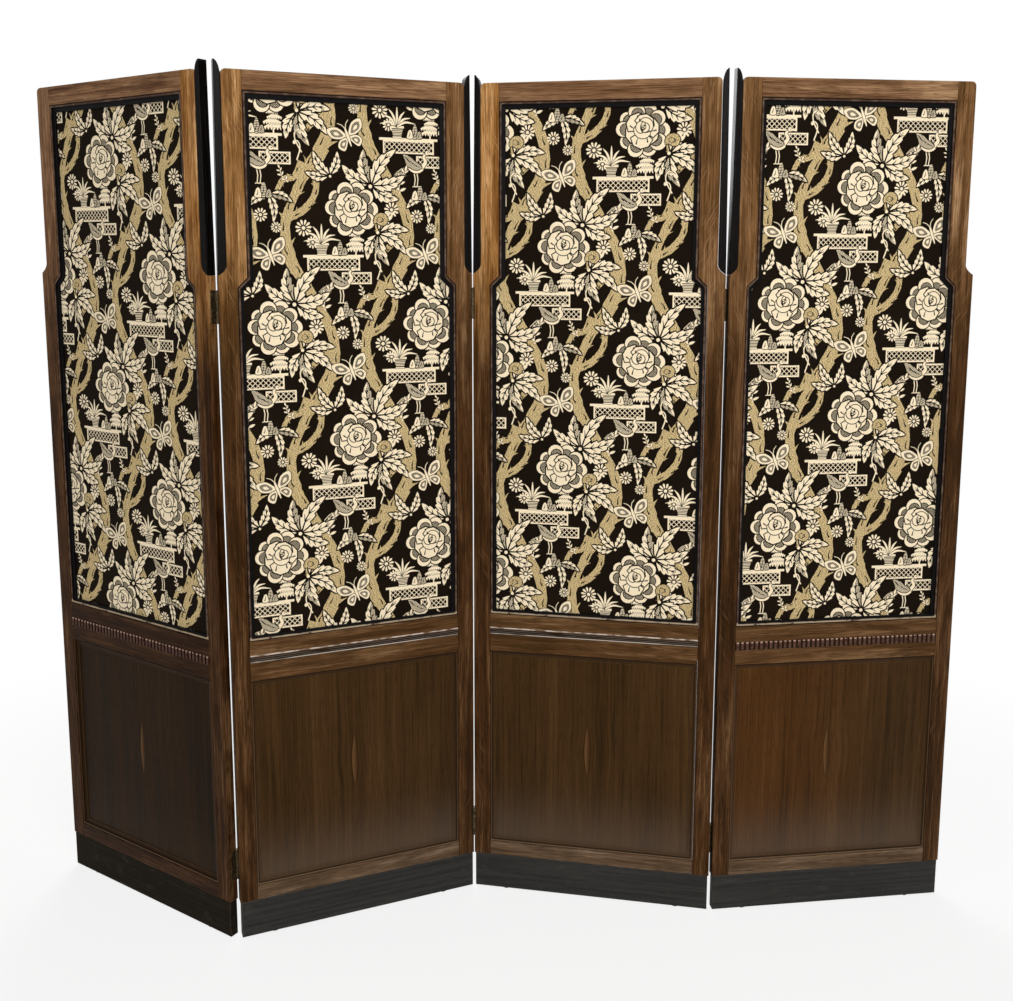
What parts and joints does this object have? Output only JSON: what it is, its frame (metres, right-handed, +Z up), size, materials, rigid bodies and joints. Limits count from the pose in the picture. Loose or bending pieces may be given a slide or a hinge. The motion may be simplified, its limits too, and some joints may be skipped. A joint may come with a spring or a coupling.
{
  "type": "folding screen",
  "caption": "Free-standing four-leaf folding screen with stepped oak frames, woven fabric above, flat panels below and black edge fins.",
  "frame": {"origin": "centre of the screen's footprint at floor level, with the leaves set in a zigzag", "axes": "+X to the right across the screen as seen from its front, +Y from the front to the back, +Z up"},
  "size_m": [1.9874, 0.307, 1.797],
  "materials": {
    "oak": "waxed quartersawn oak, satin",
    "panel_oak": "dark stained oak veneer, satin",
    "strip_oak": "stained oak reeding, satin",
    "strip_wood": "reddish hardwood reeding, satin",
    "ebonised": "ebonised, worn satin",
    "black_lacquer": "black gloss lacquer",
    "bead_black": "ebonised moulding, satin",
    "fabric": "two-tone jacquard weave",
    "hinge_metal": "brass with a dark patina"
  },
  "bodies": {
    "leaf_1": {"leaf_1_left_stile": "oak", "leaf_1_right_stile": "oak", "leaf_1_top_rail": "oak", "leaf_1_middle_rail": "oak", "leaf_1_bottom_rail": "oak", "leaf_1_plinth": "ebonised", "leaf_1_fabric_moulding": "bead_black", "leaf_1_fabric_panel": "fabric", "leaf_1_lower_panel": "panel_oak", "leaf_1_reeded_strip": "strip_wood", "leaf_1_right_fin": "black_lacquer", "fold_1_2_upper_hinge_left_flap": "hinge_metal", "fold_1_2_lower_hinge_left_flap": "hinge_metal"},
    "leaf_2": {"leaf_2_left_stile": "oak", "leaf_2_right_stile": "oak", "leaf_2_top_rail": "oak", "leaf_2_middle_rail": "oak", "leaf_2_bottom_rail": "oak", "leaf_2_plinth": "ebonised", "leaf_2_fabric_moulding": "bead_black", "leaf_2_fabric_panel": "fabric", "leaf_2_lower_panel": "panel_oak", "leaf_2_reeded_strip": "strip_oak", "leaf_2_left_fin": "black_lacquer", "leaf_2_right_fin": "black_lacquer", "fold_2_3_upper_hinge_left_flap": "hinge_metal", "fold_2_3_lower_hinge_left_flap": "hinge_metal", "fold_1_2_upper_hinge_right_flap": "hinge_metal", "fold_1_2_lower_hinge_right_flap": "hinge_metal"},
    "leaf_3": {"leaf_3_left_stile": "oak", "leaf_3_right_stile": "oak", "leaf_3_top_rail": "oak", "leaf_3_middle_rail": "oak", "leaf_3_bottom_rail": "oak", "leaf_3_plinth": "ebonised", "leaf_3_fabric_moulding": "bead_black", "leaf_3_fabric_panel": "fabric", "leaf_3_lower_panel": "panel_oak", "leaf_3_reeded_strip": "strip_oak", "leaf_3_left_fin": "black_lacquer", "leaf_3_right_fin": "black_lacquer", "fold_3_4_upper_hinge_left_flap": "hinge_metal", "fold_3_4_lower_hinge_left_flap": "hinge_metal", "fold_2_3_upper_hinge_right_flap": "hinge_metal", "fold_2_3_lower_hinge_right_flap": "hinge_metal"},
    "leaf_4": {"leaf_4_left_stile": "oak", "leaf_4_right_stile": "oak", "leaf_4_top_rail": "oak", "leaf_4_middle_rail": "oak", "leaf_4_bottom_rail": "oak", "leaf_4_plinth": "ebonised", "leaf_4_fabric_moulding": "bead_black", "leaf_4_fabric_panel": "fabric", "leaf_4_lower_panel": "panel_oak", "leaf_4_reeded_strip": "strip_wood", "leaf_4_left_fin": "black_lacquer", "fold_3_4_upper_hinge_right_flap": "hinge_metal", "fold_3_4_lower_hinge_right_flap": "hinge_metal"}
  },
  "joints": [
    {"name": "fold_1_2", "type": "hinge", "parent": "leaf_2", "child": "leaf_1", "pos_m": [-0.54315, -0.13258, 0], "axis": [0, 0, -1], "range_deg": [-55.8, 124.2]},
    {"name": "fold_2_3", "type": "hinge", "parent": "leaf_2", "child": "leaf_3", "pos_m": [-0.04924, 0.04589, 0], "axis": [0, 0, -1], "range_deg": [-33.2, 146.8]},
    {"name": "fold_3_4", "type": "hinge", "parent": "leaf_3", "child": "leaf_4", "pos_m": [0.47081, -0.02726, 0], "axis": [0, 0, 1], "range_deg": [-17.9, 162.1]}
  ]
}
